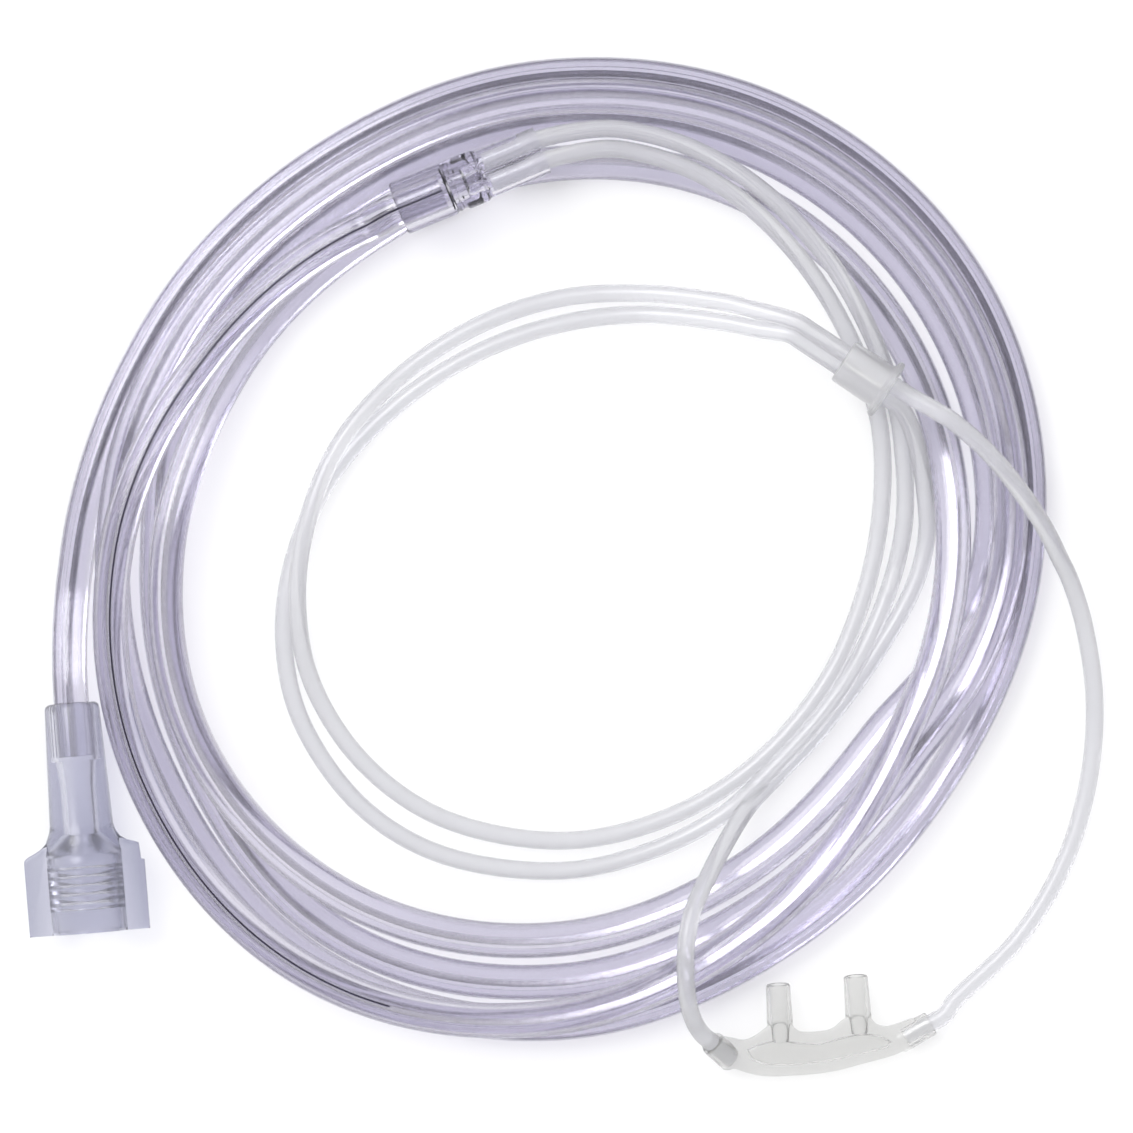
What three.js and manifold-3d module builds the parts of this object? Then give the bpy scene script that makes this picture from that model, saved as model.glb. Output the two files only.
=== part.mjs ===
// Nasal oxygen cannula, put away in a loose coil as it comes out of its bag.
// Millimetres, Z up, X to the right and Y up the picture that shows it from above.
import * as THREE from 'three';
import { mergeVertices } from 'three/addons/utils/BufferGeometryUtils.js';
import Module from 'manifold-3d';

const wasm = await Module();
wasm.setup();

// Driving dimensions
const CENTRING = [0.32, -0.1, 0];
const SUPPLY_OD = 6.7;
const HEADSET_OD = 3.4;
const FACE_GAP = 0.3;
const COIL_CENTRE = [-3.0, 2.7];
const LAYER = SUPPLY_OD;
const LEDGE_TOP = LAYER;
const COIL_TOP = 13.2;

// Threaded connector: a soft moulding with a barrel, a cuff for the tube and two flat wings
const CONNECTOR = {
  cuffEnd: [-93.58, -25.94],
  turn: 4.65,
  length: 43.6,
  barrelR: 7.3,
  barrelEnd: 15.6,
  cuffR: 6.0,
  cuffTopR: 5.2,
  cuffStart: 20.0,
  boreR: 6.4,
  boreDepth: 15.0,
  threadDepth: 0.55,
  threadPitch: 1.67,
  threadStart: 4.4,
  threadTurns: 5,
  passageR: 2.4,
  wingHalf: 11.4,
  wingThick: 3.4,
};

// Y piece: one socket for the supply tube and two side by side for the headset tubes
const YPIECE = {
  start: [-31.7, 67.4],
  turn: 22.4,
  clearance: 0.55,
  length: 29.4,
  socketR: 5.15,
  socketLength: 10.2,
  grooveDepth: 0.45,
  grooveLength: 1.2,
  blockEnd: 16.2,
  blockWidth: 10.6,
  twinWidth: 9.0,
  twinThick: 5.4,
  twinOffset: 2.1,
  passageR: 2.4,
  twinPassageR: 1.1,
};

const Y_HEIGHT = LEDGE_TOP + YPIECE.clearance + YPIECE.socketR;

// Slider: a short sleeve with a collar, which both headset tubes run through
const SLIDER = {
  start: [52.4, 38.8],
  turn: -33.5,
  height: 12.0,
  length: 10.4,
  bodyR: 4.25,
  bodyEndR: 4.45,
  collarR: 5.9,
  collarLength: 1.5,
  tubeOffset: 1.31,
  slotR: 2.0,
  travel: 8.0,
};

// Facepiece: a curved bar with two hollow prongs and an arm for each headset tube
const FACEPIECE = {
  thick: 5.0,
  edge: 1.4,
  axisHeight: 2.6,
  prongTipR: 2.25,
  prongRootR: 2.5,
  prongBoreR: 1.6,
  prongBoreDepth: 9.5,
  armR: 2.3,
};

const MATERIALS = {
  clear: new THREE.MeshStandardMaterial({ color: 0xd6d3e4, roughness: 0.12, metalness: 0, name: 'clear_tube' }),
  lavender: new THREE.MeshStandardMaterial({ color: 0xb3b2d2, roughness: 0.3, metalness: 0, name: 'lavender' }),
  milky: new THREE.MeshStandardMaterial({ color: 0xdadade, roughness: 0.3, metalness: 0, name: 'milky_tube' }),
  soft: new THREE.MeshStandardMaterial({ color: 0xd8d8d4, roughness: 0.35, metalness: 0, name: 'soft_moulding' }),
};

const radians = (degrees) => (degrees * Math.PI) / 180;

// Points round the coil are an angle from +X in degrees and a distance from the coil's centre.
function onCoil(angle, radius) {
  return [COIL_CENTRE[0] + radius * Math.cos(radians(angle)), COIL_CENTRE[1] + radius * Math.sin(radians(angle))];
}

// A smooth line through polar points, as plain XY points
function polarLine(points, stepsPerSpan) {
  const curve = new THREE.CatmullRomCurve3(points.map(([a, r]) => new THREE.Vector3(...onCoil(a, r), 0)));
  return curve.getPoints((points.length - 1) * stepsPerSpan).map((p) => new THREE.Vector2(p.x, p.y));
}

// A route is a curve with a step at every point of its list and between them.
class Route extends THREE.CatmullRomCurve3 {
  getPointAt(u, target) {
    return this.getPoint(u, target);
  }

  getTangentAt(u, target) {
    return this.getTangent(u, target);
  }
}

function circle(radius, sides) {
  const shape = new THREE.Shape();
  for (let i = 0; i < sides; i += 1) {
    const angle = (2 * Math.PI * i) / sides;
    shape[i ? 'lineTo' : 'moveTo'](radius * Math.cos(angle), radius * Math.sin(angle));
  }
  shape.closePath();
  return shape;
}

function tubeAlong(points, diameter, sides, stepsPerPoint) {
  const route = new Route(points.map((p) => new THREE.Vector3(...p)));
  return new THREE.ExtrudeGeometry(circle(diameter / 2, sides), {
    steps: (points.length - 1) * stepsPerPoint,
    extrudePath: route,
  });
}

// Boolean joins and cuts
function toSolid(geometry) {
  const bare = geometry.clone();
  bare.deleteAttribute('normal');
  bare.deleteAttribute('uv');
  const merged = mergeVertices(bare, 1e-4);
  return new wasm.Manifold(new wasm.Mesh({
    numProp: 3,
    vertProperties: new Float32Array(merged.attributes.position.array),
    triVerts: new Uint32Array(merged.index.array),
  }));
}

function toGeometry(solid) {
  const mesh = solid.getMesh();
  const geometry = new THREE.BufferGeometry();
  geometry.setAttribute('position', new THREE.BufferAttribute(new Float32Array(mesh.vertProperties), 3));
  geometry.setIndex(new THREE.BufferAttribute(new Uint32Array(mesh.triVerts), 1));
  geometry.computeVertexNormals();
  return geometry;
}

function lathe(profile, segments) {
  return new THREE.LatheGeometry(profile.map(([r, y]) => new THREE.Vector2(r, y)), segments);
}

// A bar from one point to another, wider at one end if its radii differ
function barBetween(from, to, radiusFrom, radiusTo, sides) {
  const a = new THREE.Vector3(...from);
  const b = new THREE.Vector3(...to);
  const along = new THREE.Vector3().subVectors(b, a);
  const bar = new THREE.CylinderGeometry(radiusTo, radiusFrom, along.length(), sides);
  bar.applyQuaternion(new THREE.Quaternion().setFromUnitVectors(new THREE.Vector3(0, 1, 0), along.normalize()));
  bar.translate((a.x + b.x) / 2, (a.y + b.y) / 2, (a.z + b.z) / 2);
  return bar;
}

// Coil of supply tube: its outer shape, one layer high all round and two where turns lie on turns
const COIL_OUTER = [
  [183.6, 93.9], [180, 92.8], [170, 90.9], [160, 89.6], [150, 89.0], [140, 88.6], [130, 89.2], [120, 89.8],
  [110, 90.9], [100, 92.4], [90, 93.8], [80, 95.3], [70, 96.8], [60, 97.7], [45, 98.1], [30, 98.1], [15, 96.2],
  [0, 93.9], [-15, 90.9], [-30, 89.2], [-45, 88.8], [-60, 89.4], [-75, 90.5], [-90, 93.0], [-105, 94.9],
  [-120, 95.1], [-135, 93.9], [-150, 91.4], [-158, 89.7], [-163, 89.3], [-175.4, 87.2],
];
const COIL_INNER = [
  [184, 69.6], [170, 67.0], [160, 66.3], [150, 65.7], [140, 64.8], [130, 65.0], [120, 65.5], [110, 66.7],
  [100, 68.6], [90, 69.9], [80, 71.4], [70, 73.1], [60, 73.9], [45, 74.6], [35, 75.0], [25, 75.0], [15, 74.6],
  [5, 74.0], [0, 73.1], [-10, 70.3], [-20, 68.6], [-30, 67.4], [-45, 66.7], [-60, 67.2], [-75, 68.2], [-90, 69.9],
  [-105, 71.6], [-120, 72.3], [-135, 72.7], [-150, 72.3], [-163, 71.8],
];
const UPPER_OUTER = [
  [148, 84.8], [135, 84.7], [120, 85.0], [105, 87.3], [90, 89.4], [75, 91.5], [60, 93.4], [45, 93.9], [30, 93.8],
  [15, 92.2], [0, 90.2], [-12, 87.5], [-22, 82.0], [-32, 79.0], [-45, 81.1], [-60, 84.1], [-75, 88.1], [-90, 91.5],
  [-105, 94.1], [-120, 95.1], [-135, 93.9], [-150, 91.4], [-163, 89.3],
];
const UPPER_INNER = [
  [-160.4, 72.2], [-150, 72.5], [-135, 72.9], [-120, 72.5], [-108, 76.0], [-98, 83.0], [-90, 84.7], [-75, 81.4],
  [-60, 77.3], [-45, 74.2], [-30, 71.8], [-18, 72.0], [-8, 75.5], [2, 82.5], [15, 85.4], [30, 86.9], [45, 87.1],
  [60, 86.6], [75, 84.7], [90, 82.6], [105, 80.5], [120, 78.2], [135, 77.8], [148, 78.1],
];

function slab(outline, hole, bottom, top, edge) {
  const shape = new THREE.Shape(outline);
  if (hole) shape.holes.push(new THREE.Path(hole.reverse()));
  const geometry = new THREE.ExtrudeGeometry(shape, {
    depth: top - bottom - 2 * edge,
    bevelEnabled: true,
    bevelThickness: edge,
    bevelSize: edge,
    bevelOffset: -edge,
    bevelSegments: 2,
    steps: 1,
  });
  geometry.translate(0, 0, bottom + edge);
  return geometry;
}

function supplyCoil() {
  const edge = 1.1;
  const lower = slab(polarLine(COIL_OUTER, 3), polarLine([...COIL_INNER, COIL_INNER[0]], 3).slice(0, -1),
    0, LEDGE_TOP, edge);
  const upper = slab([...polarLine(UPPER_OUTER, 3), ...polarLine(UPPER_INNER, 3)], null,
    LEDGE_TOP - 2 * edge - 0.4, COIL_TOP, edge);
  return toGeometry(toSolid(lower).add(toSolid(upper)));
}

// Supply tube: the stretch from the connector to the coil, and the last one on top of it to the Y piece
const LEAD_ON_COIL = [[190, 92.5, 4.7], [187, 91.65, 3.8], [185.6, 91.2, 3.5], [184.45, 90.8, 3.4]];
const SUPPLY_LEAD = [
  [-93.65, -25.6, 7.3], [-93.85, -22.5, 7.3], [-94.0, -19.4, 7.0], [-94.05, -15.5, 6.0],
  ...LEAD_ON_COIL.map(([angle, radius, z]) => [...onCoil(angle, radius), z]),
];
const SUPPLY_TAIL = [
  [196.5, 86.6, 10.35], [194, 85.75, 10.35], [188, 84.0, 10.8], [180, 82.1, 11.9], [170, 79.6, 12.8], [160, 77.1, 12.8],
  [150, 74.7, 12.2], [140, 72.8, 11.7], [130, 71.4, 11.8], [122, 70.9, 12.2],
].map(([angle, radius, z]) => [...onCoil(angle, radius), z]);

// Headset tubes: loops inside the coil to the slider, then one run for each side of the facepiece
const LOOPS_RIGHT = [
  [0.3, 78.2, 12.3], [7.4, 78.9, 10.6], [14.0, 78.1, 9.2], [21.6, 75.8, 8.8], [29.2, 72.0, 8.8], [36.0, 66.9, 8.8],
  [42.0, 60.9, 8.8], [47.3, 54.2, 7.2], [52.1, 46.4, 4.8], [57.3, 35.0, 2.4], [59.8, 23.9, 1.85], [59.5, 8.5, 1.85],
  [56.0, -7.1, 1.85], [49.0, -22.5, 1.85], [35.4, -38.1, 1.85], [18.5, -48.0, 1.85], [-1.1, -52.1, 1.85],
  [-23.9, -47.6, 1.85], [-38.8, -36.9, 1.85], [-48.3, -21.8, 2.0], [-50.9, -6.4, 4.9], [-48.9, 8.7, 5.7],
  [-42.5, 23.7, 5.0], [-30.5, 36.8, 2.4], [-15.6, 46.1, 1.85], [-0.9, 50.8, 1.85], [14.0, 51.7, 3.4], [28.9, 50.1, 8.4],
  [36.2, 48.3, 11.4],
];
const RUN_RIGHT = [
  [72.7, 27.5, 15.3], [78.4, 22.7, 15.5], [83.1, 17.6, 15.5], [87.5, 11.7, 15.3], [90.7, 6.6, 13.8],
  [93.2, 1.7, 11.2], [95.5, -3.0, 8.0], [98.2, -11.5, 4.0], [100.2, -25.4, 1.9], [99.1, -40.5, 1.85], [94.5, -56.1, 1.85],
  [85.8, -70.6, 1.9], [73.7, -82.4, 2.6],
];
const LOOPS_LEFT = [
  [-1.3, 82.2, 12.3], [6.8, 82.7, 10.6], [14.5, 81.9, 9.2], [22.5, 79.6, 8.8], [30.9, 75.4, 8.8], [38.5, 69.9, 8.8],
  [45.1, 63.4, 8.8], [50.9, 56.2, 8.8], [55.5, 48.4, 8.3], [59.1, 40.8, 5.6], [61.9, 33.0, 2.9], [63.6, 24.5, 1.9],
  [64.1, 8.0, 1.85], [59.9, -8.1, 1.85], [51.4, -24.4, 4.6], [37.3, -40.4, 4.4], [29.2, -47.5, 2.6], [15.5, -54.2, 1.85],
  [-1.1, -57.8, 1.85], [-23.9, -54.6, 1.85], [-39.0, -45.4, 1.85], [-50.3, -29.2, 1.85], [-53.5, -14.0, 1.85],
  [-51.7, 1.1, 1.85], [-45.0, 16.3, 1.85], [-32.7, 30.0, 1.85], [-17.0, 40.3, 1.85], [-1.5, 45.8, 1.85], [14.0, 47.7, 2.6],
  [29.5, 46.2, 6.8], [36.6, 44.8, 8.9],
];
const RUN_LEFT = [
  [65.2, 26.4, 8.8], [66.9, 20.6, 6.0], [68.1, 13.4, 3.2], [68.4, 6.0, 1.9], [66.3, -3.0, 1.85], [58.6, -16.9, 1.85],
  [47.5, -31.8, 1.85], [40.7, -39.0, 1.9], [34.9, -45.1, 4.0], [30.7, -51.5, 7.8], [27.2, -58.0, 11.2],
  [23.9, -65.3, 14.4], [22.7, -71.5, 15.6], [22.6, -77.8, 15.7], [23.2, -83.0, 14.8], [24.3, -86.3, 12.0],
];
// Where each run meets its arm of the facepiece, and the way the arm points
const ARM_LEFT = { face: [27.6, -90.2, 6.6], out: [-0.6, 0.52, 0.61], length: 6.5 };
const ARM_RIGHT = { face: [69.2, -86.6, 2.9], out: [0.87, 0.49, 0.04], length: 7.0 };

const offFace = (arm, distance) => arm.face.map((v, i) => v + arm.out[i] * distance);

// Points of a headset tube on the slider's own line, which stays straight over the slider's travel
function throughSlider(side) {
  const turn = radians(SLIDER.turn);
  const along = [Math.cos(turn), Math.sin(turn)];
  const across = [-along[1], along[0]];
  return [-SLIDER.travel - 3.0, -SLIDER.travel - 1.0, SLIDER.length + 1.0, SLIDER.length + 3.0].map((s) => [
    SLIDER.start[0] + along[0] * s + across[0] * side * SLIDER.tubeOffset,
    SLIDER.start[1] + along[1] * s + across[1] * side * SLIDER.tubeOffset,
    SLIDER.height + side * SLIDER.tubeOffset,
  ]);
}

// The start of a headset tube, just outside its socket of the Y piece
function yExit(side) {
  const turn = radians(YPIECE.turn);
  const reach = YPIECE.length + FACE_GAP;
  return [
    YPIECE.start[0] + Math.cos(turn) * reach - Math.sin(turn) * side * YPIECE.twinOffset,
    YPIECE.start[1] + Math.sin(turn) * reach + Math.cos(turn) * side * YPIECE.twinOffset,
    Y_HEIGHT,
  ];
}

function yEntry(distance) {
  const turn = radians(YPIECE.turn);
  return [YPIECE.start[0] - Math.cos(turn) * distance, YPIECE.start[1] - Math.sin(turn) * distance, Y_HEIGHT];
}

function threadedConnector() {
  const c = CONNECTOR;
  const body = lathe([
    [0, 0], [c.barrelR - 0.4, 0], [c.barrelR, 0.5], [c.barrelR, c.barrelEnd], [c.barrelR - 0.3, c.barrelEnd + 1.4],
    [c.cuffR + 0.5, c.cuffStart - 1.4], [c.cuffR, c.cuffStart], [c.cuffTopR, c.length - 0.7],
    [c.cuffTopR - 0.5, c.length], [0, c.length],
  ], 48);
  const edge = 0.6;
  const wings = new THREE.Shape();
  wings.moveTo(-c.wingHalf, 0);
  wings.lineTo(c.wingHalf, 0);
  wings.lineTo(c.wingHalf, 13.1);
  wings.lineTo(c.wingHalf - 0.6, 13.2);
  wings.lineTo(c.wingHalf - 0.8, 15.6);
  wings.quadraticCurveTo(c.wingHalf - 1.1, 16.4, 9.0, 16.9);
  wings.quadraticCurveTo(6.9, 17.6, 5.8, 20.4);
  wings.lineTo(-5.8, 20.4);
  wings.quadraticCurveTo(-6.7, 17.4, -9.0, 15.9);
  wings.quadraticCurveTo(-11.0, 14.9, -c.wingHalf, 14.0);
  wings.closePath();
  const plate = new THREE.ExtrudeGeometry(wings, {
    depth: c.wingThick - 2 * edge,
    bevelEnabled: true,
    bevelThickness: edge,
    bevelSize: edge,
    bevelOffset: -edge,
    bevelSegments: 2,
    curveSegments: 6,
  });
  plate.translate(0, 0, edge - c.wingThick / 2);
  const bore = [[0, -1], [c.boreR, -1], [c.boreR, c.threadStart]];
  for (let turn = 0; turn < c.threadTurns; turn += 1) {
    const start = c.threadStart + turn * c.threadPitch;
    bore.push([c.boreR - c.threadDepth, start + 0.35 * c.threadPitch]);
    bore.push([c.boreR - c.threadDepth, start + 0.6 * c.threadPitch]);
    bore.push([c.boreR, start + 0.95 * c.threadPitch]);
    bore.push([c.boreR, start + c.threadPitch]);
  }
  bore.push([c.boreR, c.boreDepth], [c.passageR, c.boreDepth + 3.2], [c.passageR, c.length + 1], [0, c.length + 1]);
  return toGeometry(toSolid(body).add(toSolid(plate)).subtract(toSolid(lathe(bore, 48))));
}

function stadium(width, thick) {
  const half = (width - thick) / 2;
  const shape = new THREE.Shape();
  shape.absarc(half, 0, thick / 2, -Math.PI / 2, Math.PI / 2);
  shape.absarc(-half, 0, thick / 2, Math.PI / 2, (3 * Math.PI) / 2);
  shape.closePath();
  return shape;
}

// An extruded section whose length runs along +Y, as a lathe's axis does
function alongY(shape, from, to, segments) {
  const geometry = new THREE.ExtrudeGeometry(shape, { depth: to - from, bevelEnabled: false, curveSegments: segments });
  geometry.rotateX(-Math.PI / 2);
  geometry.translate(0, from, 0);
  return geometry;
}

function yPiece() {
  const y = YPIECE;
  const grooveEnd = y.socketLength + y.grooveLength;
  const socket = lathe([
    [0, 0], [y.socketR - 0.3, 0], [y.socketR, 0.3], [y.socketR, y.socketLength],
    [y.socketR - y.grooveDepth, y.socketLength + 0.2], [y.socketR - y.grooveDepth, grooveEnd - 0.2],
    [y.socketR, grooveEnd], [y.socketR, y.blockEnd - 1.2], [y.socketR - 1.2, y.blockEnd], [0, y.blockEnd],
  ], 40);
  const block = alongY(stadium(y.blockWidth, 6.6), grooveEnd + 0.6, y.blockEnd + 1.2, 12);
  const twin = alongY(stadium(y.twinWidth, y.twinThick), y.blockEnd, y.length, 12);
  let solid = toSolid(socket).add(toSolid(block)).add(toSolid(twin));
  solid = solid.subtract(toSolid(barBetween([0, -1, 0], [0, grooveEnd, 0], y.passageR, y.passageR, 24)));
  for (const side of [-1, 1]) {
    const bore = barBetween([side * y.twinOffset, y.length + 1, 0], [side * 1.3, y.socketLength - 1, 0],
      y.twinPassageR, y.twinPassageR, 16);
    solid = solid.subtract(toSolid(bore));
  }
  return toGeometry(solid);
}

function slider() {
  const s = SLIDER;
  const collarStart = s.length - s.collarLength;
  const sleeve = lathe([
    [0, 0], [s.bodyR - 0.3, 0], [s.bodyR, 0.3], [s.bodyEndR, collarStart], [s.collarR - 0.4, collarStart + 0.1],
    [s.collarR, collarStart + 0.5], [s.collarR, s.length - 0.4], [s.collarR - 0.4, s.length], [0, s.length],
  ], 40);
  const slot = alongY(stadium(2 * (Math.SQRT2 * s.tubeOffset + s.slotR), 2 * s.slotR), -1, s.length + 1, 12);
  slot.rotateY(radians(45));
  return toGeometry(toSolid(sleeve).subtract(toSolid(slot)));
}

const FACE_UPPER = [
  [29.2, -89.0], [31.4, -89.4], [33.9, -89.8], [36.2, -88.8], [38.3, -87.2], [40.6, -86.6], [42.8, -87.0],
  [43.9, -88.1], [46.2, -88.3], [50.4, -87.7], [52.8, -85.8], [55.2, -85.3], [57.6, -85.6], [58.9, -86.9],
  [60.6, -87.2], [62.5, -86.8], [65.8, -85.6],
];
const FACE_LOWER = [
  [68.6, -89.4], [63.3, -92.2], [60.8, -93.1], [57.0, -94.1], [50.4, -95.8], [42.4, -96.6], [37.1, -96.6],
  [33.0, -95.6], [29.7, -94.0], [27.6, -92.4],
];
const PRONGS = [
  { root: [40.7, -89.5, 2.8], tip: [40.15, -79.2, 4.2] },
  { root: [55.6, -88.0, 2.8], tip: [54.85, -77.6, 4.2] },
];

function facepiece() {
  const f = FACEPIECE;
  const flat = (points, span) => new THREE.CatmullRomCurve3(points.map(([x, y]) => new THREE.Vector3(x, y, 0)))
    .getPoints((points.length - 1) * span).map((p) => new THREE.Vector2(p.x, p.y));
  const outline = [...flat(FACE_UPPER, 2), ...flat(FACE_LOWER, 2)];
  let solid = toSolid(slab(outline, null, 0, f.thick, f.edge));
  for (const arm of [ARM_LEFT, ARM_RIGHT]) {
    solid = solid.add(toSolid(barBetween(offFace(arm, -arm.length), arm.face, f.armR + 0.2, f.armR, 20)));
  }
  for (const { root, tip } of PRONGS) {
    solid = solid.add(toSolid(barBetween(root, tip, f.prongRootR, f.prongTipR, 24)));
  }
  for (const { root, tip } of PRONGS) {
    const a = new THREE.Vector3(...tip);
    const inward = new THREE.Vector3(...root).sub(a).normalize();
    const bottom = a.clone().addScaledVector(inward, f.prongBoreDepth).toArray();
    const mouth = a.clone().addScaledVector(inward, -1).toArray();
    solid = solid.subtract(toSolid(barBetween(bottom, mouth, f.prongBoreR, f.prongBoreR, 20)));
  }
  return toGeometry(solid);
}

function mesh(name, geometry, material, place) {
  const piece = new THREE.Mesh(geometry, material);
  piece.name = name;
  if (place) {
    piece.position.set(...place.at);
    piece.rotation.z = radians(place.turn);
  }
  return piece;
}

// A piece made along +Y is laid in the plane with its length at an angle from +X.
const laidAt = (start, height, turn) => ({ at: [...start, height], turn: turn - 90 });

function connectorMouth() {
  const turn = radians(CONNECTOR.turn);
  return [
    CONNECTOR.cuffEnd[0] + Math.sin(turn) * CONNECTOR.length,
    CONNECTOR.cuffEnd[1] - Math.cos(turn) * CONNECTOR.length,
    CONNECTOR.barrelR,
  ];
}

const group = new THREE.Group();
group.name = 'nasal_oxygen_cannula';
group.position.set(...CENTRING);
group.add(mesh('threaded_connector', threadedConnector(), MATERIALS.lavender,
  { at: connectorMouth(), turn: CONNECTOR.turn }));
group.add(mesh('supply_tube_lead', tubeAlong(SUPPLY_LEAD, SUPPLY_OD, 12, 1), MATERIALS.clear));
group.add(mesh('supply_coil', supplyCoil(), MATERIALS.clear));
group.add(mesh('supply_tube_tail', tubeAlong([...SUPPLY_TAIL, yEntry(3.5), yEntry(FACE_GAP)], SUPPLY_OD, 12, 1), MATERIALS.clear));
group.add(mesh('y_piece', yPiece(), MATERIALS.lavender, laidAt(YPIECE.start, Y_HEIGHT, YPIECE.turn)));
group.add(mesh('headset_tube_right', tubeAlong(
  [yExit(-1), ...LOOPS_RIGHT, ...throughSlider(1), ...RUN_RIGHT, offFace(ARM_RIGHT, 3.0), offFace(ARM_RIGHT, FACE_GAP)],
  HEADSET_OD, 8, 2), MATERIALS.milky));
group.add(mesh('headset_tube_left', tubeAlong(
  [yExit(1), ...LOOPS_LEFT, ...throughSlider(-1), ...RUN_LEFT, offFace(ARM_LEFT, 2.6), offFace(ARM_LEFT, FACE_GAP)],
  HEADSET_OD, 8, 2), MATERIALS.milky));
group.add(mesh('slider', slider(), MATERIALS.soft, laidAt(SLIDER.start, SLIDER.height, SLIDER.turn)));
group.add(mesh('facepiece', facepiece(), MATERIALS.soft));

export default group;
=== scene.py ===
import logging
import math
from dataclasses import dataclass, field
from enum import Enum

import bmesh
import bpy
import numpy as np
from mathutils import Matrix, Vector


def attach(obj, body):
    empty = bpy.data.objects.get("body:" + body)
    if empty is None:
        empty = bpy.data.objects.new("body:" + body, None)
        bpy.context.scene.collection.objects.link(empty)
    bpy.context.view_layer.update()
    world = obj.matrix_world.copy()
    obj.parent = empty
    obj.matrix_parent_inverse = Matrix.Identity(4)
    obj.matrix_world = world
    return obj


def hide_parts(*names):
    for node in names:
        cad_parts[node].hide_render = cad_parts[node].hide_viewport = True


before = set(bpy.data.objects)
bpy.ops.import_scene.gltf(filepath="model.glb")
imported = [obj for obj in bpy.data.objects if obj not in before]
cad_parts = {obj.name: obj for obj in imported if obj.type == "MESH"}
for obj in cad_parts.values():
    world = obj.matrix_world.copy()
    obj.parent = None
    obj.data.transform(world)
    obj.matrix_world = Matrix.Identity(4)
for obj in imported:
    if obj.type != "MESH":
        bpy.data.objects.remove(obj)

LOG = logging.getLogger("cannula")
MM = 0.001
CENTRING = (0.32, -0.1)
COIL_CENTRE = (-3.03, 2.65)
PIXELS_PER_MM = 5.28
ORIGIN_PIXEL = 566.0  # the part's origin in the photograph, across and down
FRONT = Vector((0.0, 0.0, 1.0))
SAME_POINT = 1e-3  # millimetres
COLOUR_MIX_INPUTS = (0, 6, 7)  # a Mix node's factor and its two colours
COLOUR_MIX_OUTPUT = 2
RELIEF = 0.0002  # metres
SMOOTHER_BY, ROUGHER_BY, GREYER = 0.03, 0.05, 0.97
# painted shade: the deeper colour that light takes on through thick vinyl, multiplied in where "thick" is
# marked
PAINTED_DEPTH_SHADE = (0.63, 0.635, 0.7, 1.0)
STRIPE_INK = (0.02, 0.015, 0.05, 1.0)
STRIPE_EDGE = 0.993  # how straight up a point of the tube's skin has to face
CURVE_STEPS = 12
LINES_PER_METRE, SWELLS_PER_METRE, PEEL_SHARE = 8.0, 60.0, 0.35


def place(x: float, y: float, z: float) -> Vector:
    """A point of the part's own millimetres as a point of the frame in metres."""
    return Vector(((x + CENTRING[0]) * MM, (y + CENTRING[1]) * MM, z * MM))


def around_coil(angle: float, radius: float, z: float) -> tuple[float, float, float]:
    """A point at an angle from +X and a distance from the coil's centre, in millimetres."""
    turn = math.radians(angle)
    return (COIL_CENTRE[0] + radius * math.cos(turn), COIL_CENTRE[1] + radius * math.sin(turn), z)


class Layer(Enum):
    """How deep a stretch of the supply tube lies in its coil."""

    FLOOR = 0
    UPPER = 1
    HUMP = 2


F, U, H = Layer.FLOOR, Layer.UPPER, Layer.HUMP


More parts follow.
